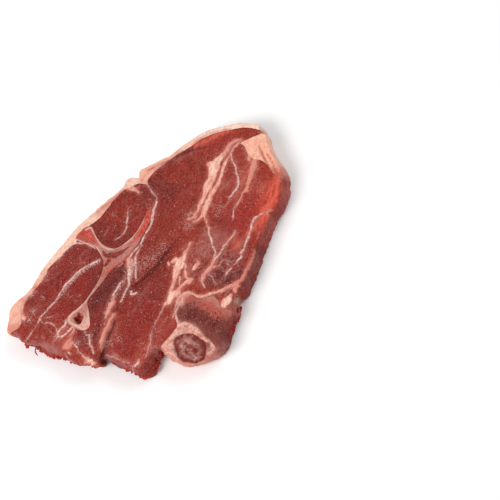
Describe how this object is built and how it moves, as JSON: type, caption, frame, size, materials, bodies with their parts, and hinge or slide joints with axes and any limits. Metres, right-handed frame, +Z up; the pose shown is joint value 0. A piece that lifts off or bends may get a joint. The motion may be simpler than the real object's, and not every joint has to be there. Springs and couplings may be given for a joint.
{
  "type": "raw lamb shoulder chop",
  "caption": "Raw lamb shoulder chop lying flat: marbled red lean, cream fat cap and corner, forked blade bone and a knuckle of backbone, cut straight through.",
  "frame": {"origin": "on the table under the middle of the chop", "axes": "+X along the fat cap towards the rib end, +Y towards the fat side, away from the backbone, +Z up out of the shown sawn face"},
  "size_m": [0.1958, 0.1164, 0.0174],
  "materials": {
    "lean": "moist raw muscle, satin",
    "fat": "raw fat, soft satin",
    "bone": "sawn bone, matte"
  },
  "bodies": {
    "root": {"lean": "lean", "fat_cap": "fat", "corner_fat": "fat", "blade_bone": "bone", "backbone": "bone"}
  },
  "joints": []
}
